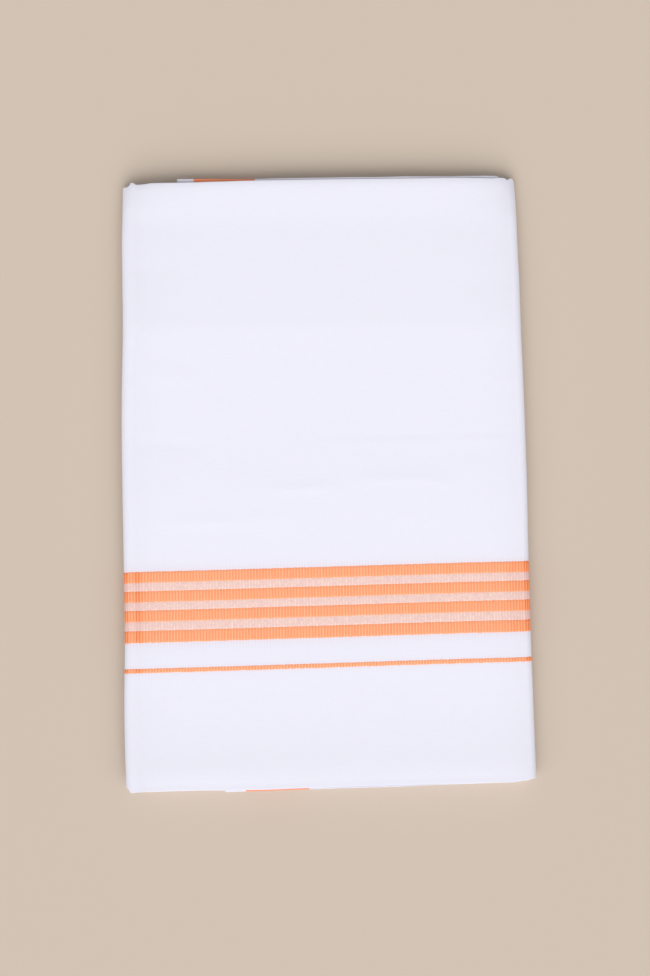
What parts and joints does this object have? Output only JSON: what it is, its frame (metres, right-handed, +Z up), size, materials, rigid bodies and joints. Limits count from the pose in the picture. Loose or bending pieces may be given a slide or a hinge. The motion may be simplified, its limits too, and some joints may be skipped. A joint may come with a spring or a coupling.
{
  "type": "folded dhoti cloth",
  "caption": "White cotton dhoti with a striped orange border, folded flat into a layered packet that lies on its back.",
  "frame": {"origin": "on the surface it lies on, under the middle of the packet", "axes": "+Z up, +Y along the packet's long side towards the fold furthest from the border, +X towards the side with the full-height turn"},
  "size_m": [0.2457, 0.3724, 0.0136],
  "materials": {
    "striped_cotton": "starched white cotton with orange border stripes",
    "plain_cotton": "starched white cotton",
    "banded_cotton": "white cotton with an orange cross band"
  },
  "bodies": {
    "root": {"outer_ply": "striped_cotton", "inner_plies": "plain_cotton", "head_end_ply": "banded_cotton", "tail_end_ply": "banded_cotton"}
  },
  "joints": []
}
